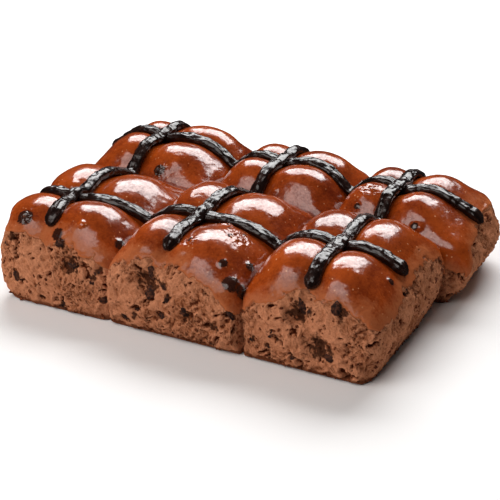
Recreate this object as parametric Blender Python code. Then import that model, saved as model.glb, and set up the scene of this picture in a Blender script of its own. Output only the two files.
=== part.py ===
"""A slab of six hot cross buns, baked touching and still joined: three along X, two along Y.

Each bun is four dough pillows round a sunken cross, over a box-like lower half. The six are
fused into one bread. Piped dark strands lie in the valleys, two along the slab and three across.
Units are metres, +Z is up, and the slab stands on z = 0, centred on the origin.
"""

import math

import bmesh
import bpy
import numpy as np
from mathutils import Vector
from mathutils.bvhtree import BVHTree

# Each bun's cell in plan, where its cross is, and how high its pillows rise.
# name: x low, x high, y low, y high, cross x, cross y, crest height
BUNS = {
    "front_left": (-0.0960, -0.0305, -0.0785, 0.0070, -0.0709, -0.0425, 0.0460),
    "front_middle": (-0.0305, 0.0370, -0.0830, 0.0080, -0.0040, -0.0377, 0.0470),
    "front_right": (0.0370, 0.1000, -0.0795, 0.0040, 0.0675, -0.0393, 0.0470),
    "back_left": (-0.0970, -0.0275, 0.0070, 0.0690, -0.0724, 0.0418, 0.0465),
    "back_middle": (-0.0275, 0.0400, 0.0080, 0.0670, 0.0006, 0.0377, 0.0450),
    "back_right": (0.0400, 0.1085, 0.0040, 0.0660, 0.0658, 0.0336, 0.0445),
}
ROWS = (("front_left", "front_middle", "front_right"), ("back_left", "back_middle", "back_right"))
OUTLINE = (-0.0970, 0.1085, -0.0830, 0.0690)  # x low, x high, y low, y high of the whole slab
FRONT_CORNER, BACK_CORNER = 0.013, 0.024  # radii of its corners in plan

# Pillows
PILLOW_RISE = 0.026        # from a pillow's middle level up to its crest
PILLOW_PAST_CROSS = 0.0080  # how far a pillow would reach past the cross line
PILLOW_PAST_CREASE = 0.0009  # and into the next bun
PILLOW_POWERS = (2.3, 2.05)  # squareness in plan, and from middle to crest: 2 is a ball
PILLOW_UNEVEN = 0.0011     # most that one crest stands above or below its bun's height

# The lower half of a bun
CORE_BELOW_CREST = 0.0070  # the core's top, under the crossing of the strands
CORE_POWERS = (5.0, 2.5)   # squareness in plan, and from middle to top
CORE_UNDER = 0.008         # how far it would reach below the flat underside
CORE_PAST_CREASE = 0.0016  # how far it grows into the bun next to it
BLEND = 0.0030             # radius of the fillet between pillows and core

# Round the core lies a squarer, lower slab, which keeps the torn sides upright.
SLAB_LEVEL = 0.010
SLAB_BELOW_CREST = 0.009
SLAB_POWERS = (9.0, 5.0)

# The right side draws in towards the floor and towards the crust.
DRAWN_LENGTH = 0.038       # how far in from the side this is felt
DRAWN_LOW, DRAWN_LOW_HEIGHT = 0.004, 0.018  # most at the floor, and where it ends
DRAWN_HIGH_FROM, DRAWN_HIGH_SPAN = 0.028, 0.016
DRAWN_HIGH = (0.0045, 0.0085)  # at the front bun's crest and at the back bun's
DRAWN_HIGH_LIMIT = 1.3

# Facets of one bun before it is fused with the others
CELLS_X, CELLS_Y, CELLS_Z = 10, 10, 6
HEART_HEIGHT = 0.016       # the inner point that a bun's surface is measured from

# Strands
STRAND_RADIUS = 0.0028
STRAND_STEP = 0.005        # distance between the rings of a strand
STRAND_SINK = 0.0006       # the valley's floor is this far above a strand's lowest line
BRIDGE_RISE = 0.0032       # how far a crosswise strand climbs to pass over a lengthwise one
BRIDGE_LENGTH = 0.007      # and how far to each side of the crossing the climb reaches
SIDE_INSET = 0.0035        # from the slab's left, right and back sides to a strand's end
FRONT_INSET = 0.0085       # and from its front side
GAP = 0.0003               # between pieces that touch

SEED = 11


def clear_scene():
    for obj in list(bpy.data.objects):
        bpy.data.objects.remove(obj, do_unlink=True)


def material(name, color, roughness):
    made = bpy.data.materials.new(name)
    made.use_nodes = True
    shader = made.node_tree.nodes["Principled BSDF"]
    shader.inputs["Base Color"].default_value = (*color, 1.0)
    shader.inputs["Roughness"].default_value = roughness
    shader.inputs["Metallic"].default_value = 0.0
    return made


def squared_ball(points, centre, half, powers):
    """Roughly the distance outside a ball that is squared off in plan and in height."""
    x, y, z = np.moveaxis(np.abs((points - centre) / half), -1, 0)
    in_plan, in_height = powers
    plan = (x**in_plan + y**in_plan) ** (1 / in_plan)
    return ((plan**in_height + z**in_height) ** (1 / in_height) - 1) * min(half)


def outside_outline(points):
    """Distance outside the slab's rounded outline in plan, negative inside it."""
    x_low, x_high, y_low, y_high = OUTLINE
    across, along = points[..., 0] - (x_low + x_high) / 2, points[..., 1] - (y_low + y_high) / 2
    radius = np.where(along < 0, FRONT_CORNER, BACK_CORNER)
    x = np.abs(across) - (x_high - x_low) / 2 + radius
    y = np.abs(along) - (y_high - y_low) / 2 + radius
    corner = np.hypot(np.maximum(x, 0), np.maximum(y, 0))
    return corner + np.minimum(np.maximum(x, y), 0) - radius


def drawn_in(points):
    """The points moved out at the right side, so that the shape there draws in low down and high up."""
    x, y, z = np.moveaxis(points, -1, 0)
    in_front = y < BUNS["back_right"][2]
    side = np.where(in_front, BUNS["front_right"][1], BUNS["back_right"][1])
    near = np.clip((x - side + DRAWN_LENGTH) / DRAWN_LENGTH, 0, 1)
    low = DRAWN_LOW * np.clip(1 - z / DRAWN_LOW_HEIGHT, 0, 1) ** 2
    upper = np.clip((z - DRAWN_HIGH_FROM) / DRAWN_HIGH_SPAN, 0, DRAWN_HIGH_LIMIT)
    high = np.where(in_front, *DRAWN_HIGH) * upper ** 2
    moved = points.copy()
    moved[..., 0] += near * near * (3 - 2 * near) * (low + high)
    return moved


def smooth_union(distances):
    """The nearest of several distances, filleted where two are alike."""
    joined = distances[0]
    for other in distances[1:]:
        mix = np.clip(0.5 + 0.5 * (other - joined) / BLEND, 0, 1)
        joined = other * (1 - mix) + joined * mix - BLEND * mix * (1 - mix)
    return joined


def bun_shapes(cell, rng):
    """The (centre, half size, powers) of a bun's core and four pillows."""
    x_low, x_high, y_low, y_high, cross_x, cross_y, crest = cell
    top = crest - CORE_BELOW_CREST
    middle = (top - CORE_UNDER) / 2
    centre = ((x_low + x_high) / 2, (y_low + y_high) / 2, middle)
    half = np.array((x_high - x_low, y_high - y_low, 2 * (top - middle))) / 2
    half[:2] += CORE_PAST_CREASE
    shapes = [(np.array(centre), half, CORE_POWERS)]
    slab_half = (half[0], half[1], crest - SLAB_BELOW_CREST - SLAB_LEVEL)
    shapes.append((np.array((centre[0], centre[1], SLAB_LEVEL)), np.array(slab_half), SLAB_POWERS))
    for x_edge in (x_low, x_high):
        for y_edge in (y_low, y_high):
            ends = []
            for edge, cross in ((x_edge, cross_x), (y_edge, cross_y)):
                outward = math.copysign(1, edge - cross)
                ends.append((edge + outward * PILLOW_PAST_CREASE, cross - outward * PILLOW_PAST_CROSS))
            height = crest + rng.uniform(-PILLOW_UNEVEN, PILLOW_UNEVEN)
            centre = (sum(ends[0]) / 2, sum(ends[1]) / 2, height - PILLOW_RISE)
            half = (abs(ends[0][0] - ends[0][1]) / 2, abs(ends[1][0] - ends[1][1]) / 2, PILLOW_RISE)
            shapes.append((np.array(centre), np.array(half), PILLOW_POWERS))
    return shapes


def box_shell():
    """Corners and quads of a box of cells from -1 to 1, its surface only."""
    counts = (CELLS_X, CELLS_Y, CELLS_Z)
    index, corners, quads = {}, [], []

    def corner(steps):
        if steps not in index:
            index[steps] = len(corners)
            corners.append([2 * step / count - 1 for step, count in zip(steps, counts)])
        return index[steps]

    for axis in range(3):
        first, second = (axis + 1) % 3, (axis + 2) % 3
        for side in (0, counts[axis]):
            for a in range(counts[first]):
                for b in range(counts[second]):
                    ring = [(a, b), (a + 1, b), (a + 1, b + 1), (a, b + 1)]
                    if side == 0:
                        ring.reverse()
                    quad = []
                    for step_a, step_b in ring:
                        steps = [0, 0, 0]
                        steps[axis], steps[first], steps[second] = side, step_a, step_b
                        quad.append(corner(tuple(steps)))
                    quads.append(quad)
    return np.array(corners), quads


def surface_along(rays, heart, shapes, reach):
    """Where each ray from the heart leaves the blended shapes, found by halving."""
    near, far = np.zeros(len(rays)), np.full(len(rays), reach)
    for _ in range(30):
        middle = (near + far) / 2
        points = drawn_in(heart + rays * middle[:, None])
        bun = smooth_union([squared_ball(points, *shape) for shape in shapes])
        inside = np.maximum(bun, outside_outline(points)) < 0
        near = np.where(inside, middle, near)
        far = np.where(inside, far, middle)
    return heart + rays * near[:, None]


def make_bun(name, cell, rng):
    x_low, x_high, y_low, y_high, cross_x, cross_y, crest = cell
    corners, quads = box_shell()
    heart = np.array((cross_x, cross_y, HEART_HEIGHT))
    low = np.array((x_low, y_low, 0)) - heart
    high = np.array((x_high, y_high, crest)) - heart
    rays = np.where(corners < 0, -corners * low, corners * high)
    rays /= np.linalg.norm(rays, axis=1)[:, None]
    points = surface_along(rays, heart, bun_shapes(cell, rng), 2 * (x_high - x_low))
    mesh = bpy.data.meshes.new(name)
    mesh.from_pydata(points.tolist(), [], quads)
    mesh.update()
    obj = bpy.data.objects.new(name, mesh)
    bpy.context.scene.collection.objects.link(obj)
    return obj


def baked(obj):
    """The object's mesh with its modifiers applied."""
    bpy.context.view_layer.update()
    graph = bpy.context.evaluated_depsgraph_get()
    mesh = bpy.data.meshes.new_from_object(obj.evaluated_get(graph))
    obj.modifiers.clear()
    return mesh


def boolean(obj, other, operation):
    """Joins or cuts with the other object, then removes it."""
    step = obj.modifiers.new(operation.lower(), "BOOLEAN")
    step.operation = operation
    step.solver = "EXACT"
    step.object = other
    obj.data = baked(obj)
    bpy.data.objects.remove(other, do_unlink=True)


def cut_flat_underside(obj):
    """Everything below z = 0 is sliced off and the cut is closed."""
    shell = bmesh.new()
    shell.from_mesh(obj.data)
    everything = shell.verts[:] + shell.edges[:] + shell.faces[:]
    cut = bmesh.ops.bisect_plane(
        shell, geom=everything, plane_co=(0, 0, 0), plane_no=(0, 0, -1), clear_outer=True
    )
    rim = [item for item in cut["geom_cut"] if isinstance(item, bmesh.types.BMEdge)]
    bmesh.ops.contextual_create(shell, geom=rim)
    bmesh.ops.recalc_face_normals(shell, faces=shell.faces[:])
    shell.to_mesh(obj.data)
    shell.free()


def make_bread():
    rng = np.random.default_rng(SEED)
    buns = [make_bun(name, cell, rng) for name, cell in BUNS.items()]
    bread = buns[0]
    for other in buns[1:]:
        boolean(bread, other, "UNION")
    cut_flat_underside(bread)
    bread.name = "bread"
    bread.data.name = "bread"
    return bread


def surface_finder(bread):
    """A function that gives the height of the bread's top at a place in plan."""
    mesh = bread.data
    mesh.calc_loop_triangles()
    corners = [vertex.co for vertex in mesh.vertices]
    tree = BVHTree.FromPolygons(corners, [tuple(t.vertices) for t in mesh.loop_triangles])

    def height(x, y):
        hit = tree.ray_cast(Vector((x, y, 0.1)), Vector((0, 0, -1)))[0]
        return hit.z if hit else 0.0

    return height


def route_through(stations):
    """Even steps along a line that eases from each station's sideways place to the next one's."""
    lengths = [after[0] - before[0] for before, after in zip(stations, stations[1:])]
    count = round(sum(lengths) / STRAND_STEP)
    route = []
    for step in range(count + 1):
        along = step / count * sum(lengths)
        leg = 0
        while leg < len(lengths) - 1 and along > lengths[leg]:
            along -= lengths[leg]
            leg += 1
        ease = (1 - math.cos(math.pi * along / lengths[leg])) / 2
        (start, side), (_, next_side) = stations[leg], stations[leg + 1]
        route.append((start + along, side + (next_side - side) * ease))
    return route


def row_route(row):
    """(x, y) along a row, through its crosses."""
    cells = [BUNS[name] for name in ROWS[row]]
    stations = [(cells[0][0] + SIDE_INSET, cells[0][5])]
    for cell in cells:
        stations.append((cell[4], cell[5]))
    stations.append((cells[-1][1] - SIDE_INSET, cells[-1][5]))
    return route_through(stations)


def column_route(column):
    """(x, y) across a column, through its crosses, from front to back."""
    cells = [BUNS[row[column]] for row in ROWS]
    stations = [(cells[0][2] + FRONT_INSET, cells[0][4])]
    for cell in cells:
        stations.append((cell[5], cell[4]))
    stations.append((cells[-1][3] - SIDE_INSET, cells[-1][4]))
    return [(x, y) for y, x in route_through(stations)]


def lie_on(route, height):
    """The route's points raised to where a strand rests, softly bridging the creases."""
    levels = [height(x, y) + STRAND_RADIUS - STRAND_SINK for x, y in route]
    points = []
    for step, (x, y) in enumerate(route):
        around = levels[max(0, step - 2) : step + 3]
        points.append(Vector((x, y, (levels[step] + sum(around) / len(around)) / 2)))
    return points


def climb_over(points, crossings):
    """Raises a crosswise strand in a smooth hump over each lengthwise one."""
    for point in points:
        for crossing in crossings:
            away = abs(point.y - crossing) / BRIDGE_LENGTH
            if away < 1:
                point.z += BRIDGE_RISE * (1 + math.cos(math.pi * away)) / 2


def tube(name, points, radius):
    """A closed round bar along the points, as a mesh object."""
    curve = bpy.data.curves.new(name, "CURVE")
    curve.dimensions = "3D"
    curve.bevel_depth = radius
    curve.bevel_resolution = 2
    curve.use_fill_caps = True
    spline = curve.splines.new("POLY")
    spline.points.add(len(points) - 1)
    for knot, point in zip(spline.points, points):
        knot.co = (*point, 1)
    guide = bpy.data.objects.new(name, curve)
    bpy.context.scene.collection.objects.link(guide)
    mesh = baked(guide)
    bpy.data.objects.remove(guide, do_unlink=True)
    shell = bmesh.new()
    shell.from_mesh(mesh)
    bmesh.ops.remove_doubles(shell, verts=shell.verts[:], dist=0.00001)
    bmesh.ops.recalc_face_normals(shell, faces=shell.faces[:])
    shell.to_mesh(mesh)
    shell.free()
    obj = bpy.data.objects.new(name, mesh)
    bpy.context.scene.collection.objects.link(obj)
    return obj


def make_strands(bread):
    """Lays the strands, seats them in the bread and notches the lengthwise under the crosswise."""
    height = surface_finder(bread)
    lengthwise, crosswise = {}, {}
    for row, side in enumerate(("front", "back")):
        lengthwise[f"strand_along_{side}"] = lie_on(row_route(row), height)
    for column, side in enumerate(("left", "middle", "right")):
        points = lie_on(column_route(column), height)
        climb_over(points, [BUNS[ROWS[row][column]][5] for row in (0, 1)])
        crosswise[f"strand_across_{side}"] = points
    strands = []
    for name, points in lengthwise.items():
        strand = tube(name, points, STRAND_RADIUS)
        for over in crosswise.values():
            boolean(strand, tube("notch", over, STRAND_RADIUS + GAP), "DIFFERENCE")
        strands.append(strand)
    for name, points in crosswise.items():
        strands.append(tube(name, points, STRAND_RADIUS))
    for points in (*lengthwise.values(), *crosswise.values()):
        boolean(bread, tube("seat", points, STRAND_RADIUS + GAP), "DIFFERENCE")
    return strands


def centre_on_origin(pieces):
    """Moves the meshes so that the slab's box is centred on x = 0, y = 0."""
    corners = np.array([vertex.co for piece in pieces for vertex in piece.data.vertices])
    middle = (corners.min(axis=0) + corners.max(axis=0)) / 2
    for piece in pieces:
        for vertex in piece.data.vertices:
            vertex.co.x -= middle[0]
            vertex.co.y -= middle[1]


def finish(piece, finish_material):
    piece.data.materials.clear()
    piece.data.materials.append(finish_material)
    piece.data.shade_smooth()
    piece.data.set_sharp_from_angle(angle=math.radians(50))


def main():
    clear_scene()
    bread = make_bread()
    strands = make_strands(bread)
    centre_on_origin([bread, *strands])
    finish(bread, material("glazed_crust", (0.21, 0.045, 0.012), 0.25))
    for strand in strands:
        finish(strand, material(f"{strand.name}_paste", (0.012, 0.006, 0.005), 0.3))


main()
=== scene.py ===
# %% [markdown]
# # A batch of chocolate hot cross buns
#
# Six buns were proved and baked so close together that their sides grew into each other, and the
# batch was then torn out of a larger sheet. So each bun has two skins: a glazed, shiny crust on
# top, and open, fibrous crumb wherever it was torn from a neighbour. Dark piped strands lie in
# the valleys that quarter each bun.
#
# The batch already exists as a packed construction model, the frame. This lesson loads it, then
# builds the surfaces that make it look baked: dough, torn crumb, strands and chocolate.

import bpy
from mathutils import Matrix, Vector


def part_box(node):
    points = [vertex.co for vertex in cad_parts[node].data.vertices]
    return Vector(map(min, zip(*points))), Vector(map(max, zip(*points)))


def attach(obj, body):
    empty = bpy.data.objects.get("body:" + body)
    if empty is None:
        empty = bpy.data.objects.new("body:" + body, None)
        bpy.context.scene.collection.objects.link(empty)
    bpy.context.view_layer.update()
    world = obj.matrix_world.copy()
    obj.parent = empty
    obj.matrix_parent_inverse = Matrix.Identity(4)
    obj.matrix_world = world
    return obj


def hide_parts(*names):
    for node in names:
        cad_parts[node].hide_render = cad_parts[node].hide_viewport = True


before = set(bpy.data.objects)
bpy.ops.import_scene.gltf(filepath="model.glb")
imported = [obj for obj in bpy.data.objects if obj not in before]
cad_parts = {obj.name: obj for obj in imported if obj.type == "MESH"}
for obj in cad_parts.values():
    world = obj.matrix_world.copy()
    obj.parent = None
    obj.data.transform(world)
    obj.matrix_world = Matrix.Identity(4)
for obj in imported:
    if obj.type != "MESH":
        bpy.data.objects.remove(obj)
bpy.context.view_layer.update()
print("frame nodes:", sorted(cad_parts))

# %% Modules and the size of the whole batch
import math

import bpy
import numpy as np
from mathutils import Matrix, Vector, noise
from mathutils.bvhtree import BVHTree

MM = 0.001
SEED = 11
batch_low, batch_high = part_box("bread")
batch_middle = (batch_low + batch_high) / 2
batch_size = batch_high - batch_low
print("batch in mm:", [round(side / MM, 1) for side in batch_size])

# %% [markdown]
# ## Camera, floor and light
#
# The camera looks down at the batch from the front right, a little above it, through a long
# lens. It is placed first, so that every later choice can be judged in the same view. It could be
# aimed by a Track To constraint. Writing its matrix from three angles keeps the small roll too.

# %% Camera
AZIMUTH, ELEVATION, ROLL = math.radians(28.28), math.radians(26.18), math.radians(-1.35)
DISTANCE = 0.6229
LENS, SENSOR = 90.9, 36.0
AIM = Vector((-0.0031, 0.0032, 0.0107)) + Vector((batch_middle.x, batch_middle.y, 0))


def camera_turn(azimuth, elevation, roll):
    """The rotation of a camera that looks back at its target from these angles."""
    back = Vector((
        math.sin(azimuth) * math.cos(elevation),
        -math.cos(azimuth) * math.cos(elevation),
        math.sin(elevation),
    ))
    right = Vector((math.cos(azimuth), math.sin(azimuth), 0))
    turn = Matrix((right, back.cross(right), back)).transposed()
    return turn @ Matrix.Rotation(roll, 3, "Z")


camera_data = bpy.data.cameras.new("camera")
camera_data.lens = LENS
camera_data.sensor_width = SENSOR
camera = bpy.data.objects.new("camera", camera_data)
bpy.context.scene.collection.objects.link(camera)
turn = camera_turn(AZIMUTH, ELEVATION, ROLL)
camera.matrix_world = Matrix.Translation(AIM + turn.col[2] * DISTANCE) @ turn.to_4x4()
bpy.context.scene.camera = camera
print("camera at", [round(value, 3) for value in camera.matrix_world.translation])

# %% Floor
FLOOR_RADIUS, FLOOR_LEVEL = 0.6, -0.0004
FLOOR_WHITE, FLOOR_ROUGHNESS, FLOOR_GLOSS = (0.9, 0.9, 0.9, 1), 0.9, 0.1
bpy.ops.object.select_all(action="DESELECT")
bpy.ops.mesh.primitive_circle_add(vertices=96, radius=FLOOR_RADIUS, fill_type="NGON",
                                  location=(0, 0, FLOOR_LEVEL))
floor = bpy.context.object
floor.name = "floor"
floor_paint = bpy.data.materials.new("floor_paint")
floor_paint.use_nodes = True
floor_shader = floor_paint.node_tree.nodes["Principled BSDF"]
floor_shader.inputs["Base Color"].default_value = FLOOR_WHITE
floor_shader.inputs["Roughness"].default_value = FLOOR_ROUGHNESS
floor_shader.inputs["Specular IOR Level"].default_value = FLOOR_GLOSS
floor.data.materials.append(floor_paint)
floor.visible_glossy = False
print("floor", floor.dimensions[:])

# %% [markdown]
# A baker's glaze is judged by its highlights. One big soft light hangs above and behind the
# batch, and every pillow mirrors it near its crest. A weaker key light in front leaves a dull
# patch on each slope that faces it. Two fills, from the left and from above, lift the torn sides.
# The fills and the floor are hidden from mirror rays, because they would haze the glaze.

# %% Lights
# name: azimuth, elevation, distance, width, height, watts
LIGHTS = {
    "back_light": (196, 44, 0.9, 0.95, 0.50, 13.0),
    "key_light": (-12, 52, 1.0, 0.85, 0.60, 4.6),
    "side_fill": (-50, 16, 1.2, 0.90, 0.60, 7.5),
    "top_fill": (0, 88, 1.4, 2.00, 2.00, 1.5),
}
LIGHT_AIM = Vector((0, 0, 0.03))
KEY_COLOR = (1.0, 0.93, 0.89)


def softbox(name, azimuth, elevation, distance, width, height, watts):
    """A rectangular area light that looks at the batch."""
    lamp_data = bpy.data.lights.new(name, "AREA")
    lamp_data.shape = "RECTANGLE"
    lamp_data.size, lamp_data.size_y = width, height
    lamp_data.energy = watts
    lamp = bpy.data.objects.new(name, lamp_data)
    bpy.context.scene.collection.objects.link(lamp)
    lamp_turn = camera_turn(math.radians(azimuth), math.radians(elevation), 0)
    lamp.matrix_world = Matrix.Translation(LIGHT_AIM + lamp_turn.col[2] * distance) @ lamp_turn.to_4x4()
    return lamp


lamps = {name: softbox(name, *settings) for name, settings in LIGHTS.items()}
lamps["key_light"].data.color = KEY_COLOR
for name in ("side_fill", "top_fill"):
    lamps[name].visible_glossy = False
print("lights:", list(lamps))

# %% Studio walls
SKY_SEEN, SKY_LIGHT = 0.95, 0.03  # white where it is seen, though it adds almost no light
world = bpy.data.worlds.new("studio")
bpy.context.scene.world = world
world.use_nodes = True
sky = world.node_tree.nodes["Background"]
sky.inputs["Color"].default_value = (1, 1, 1, 1)
seen = world.node_tree.nodes.new("ShaderNodeLightPath")
strength = world.node_tree.nodes.new("ShaderNodeMath")
strength.operation = "MULTIPLY_ADD"
strength.inputs[1].default_value = SKY_SEEN - SKY_LIGHT
strength.inputs[2].default_value = SKY_LIGHT
world.node_tree.links.new(seen.outputs["Is Camera Ray"], strength.inputs[0])
world.node_tree.links.new(strength.outputs[0], sky.inputs["Strength"])
bpy.context.scene.view_settings.view_transform = "Standard"
print("the walls give", SKY_LIGHT, "of the light that they show")

# %% [markdown]
# ## Working by hand, in code
#
# Three habits keep modelling by operators safe in a script: deselect before adding, take the new
# object from the context, and apply each modifier by name. Small helpers hold them, and others
# read and write a mesh's points as arrays.

# %% Helpers for objects and modifiers
def only(obj):
    """Selects this object and makes it the active one."""
    bpy.ops.object.select_all(action="DESELECT")
    obj.select_set(True)
    bpy.context.view_layer.objects.active = obj


def fresh(add, **settings):
    """Adds a primitive with nothing else selected, and returns it."""
    bpy.ops.object.select_all(action="DESELECT")
    add(**settings)
    return bpy.context.object


def apply_modifier(obj, kind, **settings):
    """Adds one modifier with these settings and applies it."""
    only(obj)
    step = obj.modifiers.new(kind.lower(), kind)
    for setting, value in settings.items():
        setattr(step, setting, value)
    bpy.ops.object.modifier_apply(modifier=step.name)


print("helpers for objects ready")

# %% Helpers for points as arrays
def read(items, field):
    """This field of each item, three numbers to a row."""
    found = np.empty(len(items) * 3, np.float32)
    items.foreach_get(field, found)
    return found.reshape(-1, 3).astype(float)


def places(obj):
    """The object's points."""
    return read(obj.data.vertices, "co")


def normals(obj):
    """The outward direction at each of the object's points."""
    return read(obj.data.vertex_normals, "vector")


def move_to(obj, points):
    """Puts the object's points at these places."""
    obj.data.vertices.foreach_set("co", np.asarray(points, np.float32).ravel())
    obj.data.update()


def rest_on_floor(obj):
    """Lifts the points that lie below the floor."""
    points = places(obj)
    points[:, 2] = np.maximum(points[:, 2], 0)
    move_to(obj, points)


def keep(obj, label, values, kind="FLOAT"):
    """Stores values on the object's points under this label."""
    layer = obj.data.attributes.new(label, kind, "POINT")
    field = "value" if kind == "FLOAT" else "vector"
    layer.data.foreach_set(field, np.asarray(values, np.float32).ravel())


def smooth_step(low, high, value):
    """0 below low, 1 above high, and an even slope between."""
    part = np.clip((value - low) / (high - low), 0, 1)
    return part * part * (3 - 2 * part)


def hump(value, middle, width):
    """1 at the middle, falling off to both sides."""
    return np.exp(-(((value - middle) / width) ** 2))


print("a quarter of the way up a smooth step:", smooth_step(0, 1, 0.25))

# %% [markdown]
# ## The dough
#
# Hot cross buns start as balls of dough in a grid. They rise, meet and square each other off, and
# the strands hold the middle down, so four pillows swell up round each cross. One could join four
# spheres and a box with a Boolean, but bread has no hard joint. So a cube is subdivided and each
# of its points is moved outward until it meets a soft union of six squared-off balls. A voxel
# remesh then gives the even, fine quads that the crumb's relief needs.

# %% The six buns' cells, as in the construction model
# name: x low, x high, y low, y high, cross x, cross y, crest height, in mm
CELLS = {
    "front_left": (-96.0, -30.5, -78.5, 7.0, -70.9, -42.5, 46.0),
    "front_middle": (-30.5, 37.0, -83.0, 8.0, -4.0, -37.7, 47.0),
    "front_right": (37.0, 100.0, -79.5, 4.0, 67.5, -39.3, 47.0),
    "back_left": (-97.0, -27.5, 7.0, 69.0, -72.4, 41.8, 46.5),
    "back_middle": (-27.5, 40.0, 8.0, 67.0, 0.6, 37.7, 45.0),
    "back_right": (40.0, 108.5, 4.0, 66.0, 65.8, 33.6, 44.5),
}
ROWS = (("front_left", "front_middle", "front_right"), ("back_left", "back_middle", "back_right"))
OUTLINE = (-97.0, 108.5, -83.0, 69.0)
FRONT_CORNER, BACK_CORNER = 13.0, 24.0
outline_middle = np.array(((OUTLINE[0] + OUTLINE[1]) / 2, (OUTLINE[2] + OUTLINE[3]) / 2, 0.0))
to_batch = np.array((batch_middle.x, batch_middle.y, 0.0)) / MM - outline_middle
print("cells move by", to_batch, "mm to lie in the frame")

# %% Squared-off balls and their soft union, all in mm
PILLOW_RISE, PILLOW_UNEVEN = 26.0, 1.1
PAST_CROSS, PILLOW_PAST_CREASE, CORE_PAST_CREASE = 8.0, 0.9, 1.6
PILLOW_POWERS, CORE_POWERS = (2.3, 2.05), (5.0, 2.5)
CORE_BELOW_CREST, CORE_UNDER, FILLET = 7.0, 8.0, 3.0
SLAB_LEVEL, SLAB_BELOW_CREST, SLAB_POWERS = 10.0, 9.0, (9.0, 5.0)
HEART_HEIGHT = 16.0
FOOT_INSET, FOOT_HEIGHT = 4.0, 9.0


def squared_ball(points, centre, half, powers):
    """Distance outside a ball that is squared off in plan and in height by two powers."""
    x, y, z = np.moveaxis(np.abs((points - centre) / half), -1, 0)
    in_plan, in_height = powers
    plan = (x**in_plan + y**in_plan) ** (1 / in_plan)
    return ((plan**in_height + z**in_height) ** (1 / in_height) - 1) * min(half)


def inside_outline(points):
    """How far inside the batch's rounded outline in plan each point is, negative outside."""
    from_middle = points[..., :2] - outline_middle[:2]
    radius = np.where(from_middle[..., 1] < 0, FRONT_CORNER, BACK_CORNER)
    x = np.abs(from_middle[..., 0]) - (OUTLINE[1] - OUTLINE[0]) / 2 + radius
    y = np.abs(from_middle[..., 1]) - (OUTLINE[3] - OUTLINE[2]) / 2 + radius
    corner = np.hypot(np.maximum(x, 0), np.maximum(y, 0))
    return radius - corner - np.minimum(np.maximum(x, y), 0)


ball = squared_ball(np.zeros(3), np.zeros(3), np.ones(3), PILLOW_POWERS)
print("the middle of a ball of radius 1 mm lies", round(float(-ball), 2), "mm inside")

# %% How the outer sides lean, in mm
RIGHT_CREASE, LEFT_CREASE = 4.0, 7.0       # where the crease between the rows meets each side
RIGHT_SIDES = (100.0, 108.5)               # the front row stops short of the back row
RIGHT_REACH, LEFT_REACH = 38.0, 32.0       # how far in from its side a lean is felt
FOOT_IN, FOOT_IN_BELOW = 4.0, 18.0
TOP_IN, TOP_IN_FROM, TOP_IN_OVER, TOP_IN_LIMIT = (4.5, 15.5), 27.0, 16.0, 1.3
RIGHT_SWELL, RIGHT_SWELL_AT = (1.0, 4.5), (18.0, 8.0)           # (front, back), (height, width)
SHOULDER, SHOULDER_AT, SHOULDER_BACK = 6.5, (42.0, 7.0), 2.0    # of the front row, at the left
LEFT_SWELL, LEFT_SWELL_AT = 4.0, (30.0, 12.0)                   # of the back row


def leant(points):
    """Places near two sides moved, so that the dough swells or draws in there."""
    x, y, z = np.moveaxis(points, -1, 0)
    front = y < RIGHT_CREASE
    right_side = np.where(front, *RIGHT_SIDES)
    near_right = smooth_step(right_side - RIGHT_REACH, right_side, x)
    low = FOOT_IN * np.clip(1 - z / FOOT_IN_BELOW, 0, 1) ** 2
    high = np.where(front, *TOP_IN) * np.clip((z - TOP_IN_FROM) / TOP_IN_OVER, 0, TOP_IN_LIMIT) ** 2
    swell = np.where(front, *RIGHT_SWELL) * hump(z, *RIGHT_SWELL_AT)
    near_left = smooth_step(OUTLINE[0] + LEFT_REACH, OUTLINE[0], x)
    shoulder = SHOULDER * hump(z, *SHOULDER_AT) - SHOULDER_BACK
    left = np.where(y < LEFT_CREASE, shoulder, LEFT_SWELL * hump(z, *LEFT_SWELL_AT))
    moved = points.copy()
    moved[..., 0] += near_right * (low + high - swell) + near_left * left
    return moved


def dough(points, shapes):
    """Distance outside the bun made of these shapes, flat underneath."""
    points = leant(points)
    joined = squared_ball(points, *shapes[0])
    for shape in shapes[1:]:
        other = squared_ball(points, *shape)
        mix = np.clip(0.5 + 0.5 * (other - joined) / FILLET, 0, 1)
        joined = other * (1 - mix) + joined * mix - FILLET * mix * (1 - mix)
    foot = FOOT_INSET * np.clip(1 - points[..., 2] / FOOT_HEIGHT, 0, 1) ** 2
    return np.maximum(np.maximum(joined, foot - inside_outline(points)), -points[..., 2])


print("the front left shoulder moves by", leant(np.array((OUTLINE[0], -40.0, 42.0)))[0] - OUTLINE[0], "mm")

# %% The shapes of one bun
uneven = np.random.default_rng(SEED)


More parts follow.
